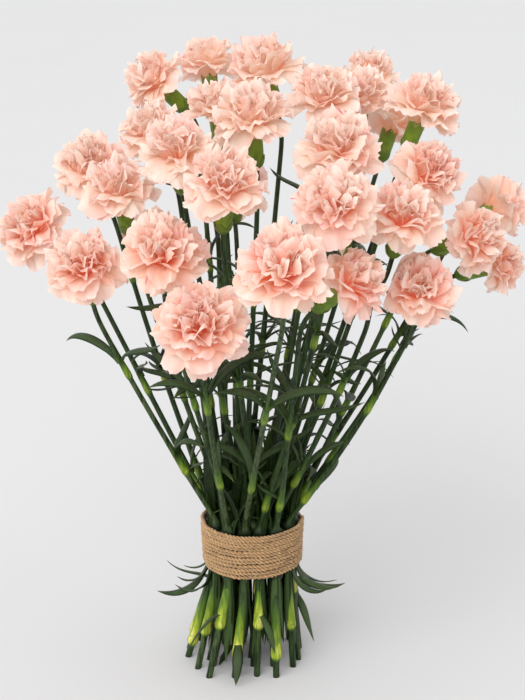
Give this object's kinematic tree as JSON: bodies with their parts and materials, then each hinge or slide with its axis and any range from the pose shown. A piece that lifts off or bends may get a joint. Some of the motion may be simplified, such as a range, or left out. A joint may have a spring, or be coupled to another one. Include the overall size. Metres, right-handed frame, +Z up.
{
  "type": "bunch of carnations",
  "caption": "Hand-tied bunch of pale peach double carnations that stands on its cut stem ends, bound with jute twine.",
  "frame": {"origin": "middle of the bunch's footprint box, on the surface that it stands on", "axes": "+Z up along the bunch; the pictured front looks along -Y; +X is to the right of that front"},
  "size_m": [0.4536, 0.4194, 0.5473],
  "materials": {
    "petals": "matte",
    "stems": "satin",
    "twine": "matte"
  },
  "bodies": {
    "root": {"bloom_01": "petals", "bloom_02": "petals", "bloom_03": "petals", "bloom_04": "petals", "bloom_05": "petals", "bloom_06": "petals", "bloom_07": "petals", "bloom_08": "petals", "bloom_09": "petals", "bloom_10": "petals", "bloom_11": "petals", "bloom_12": "petals", "bloom_13": "petals", "bloom_14": "petals", "bloom_15": "petals", "bloom_16": "petals", "bloom_17": "petals", "bloom_18": "petals", "bloom_19": "petals", "bloom_20": "petals", "bloom_21": "petals", "bloom_22": "petals", "bloom_23": "petals", "bloom_24": "petals", "bloom_25": "petals", "bloom_26": "petals", "bloom_27": "petals", "bloom_28": "petals", "bloom_29": "petals", "bloom_30": "petals", "bloom_31": "petals", "bloom_32": "petals", "stem_01": "stems", "stem_02": "stems", "stem_03": "stems", "stem_04": "stems", "stem_05": "stems", "stem_06": "stems", "stem_09": "stems", "stem_10": "stems", "stem_11": "stems", "stem_12": "stems", "stem_13": "stems", "stem_17": "stems", "stem_18": "stems", "stem_19": "stems", "stem_20": "stems", "stem_21": "stems", "stem_22": "stems", "stem_23": "stems", "stem_24": "stems", "stem_25": "stems", "stem_26": "stems", "stem_29": "stems", "stems_08_30": "stems", "stems_14_15": "stems", "stems_28_27": "stems", "stems_31_16": "stems", "stems_32_07": "stems", "twine": "twine"}
  },
  "joints": []
}
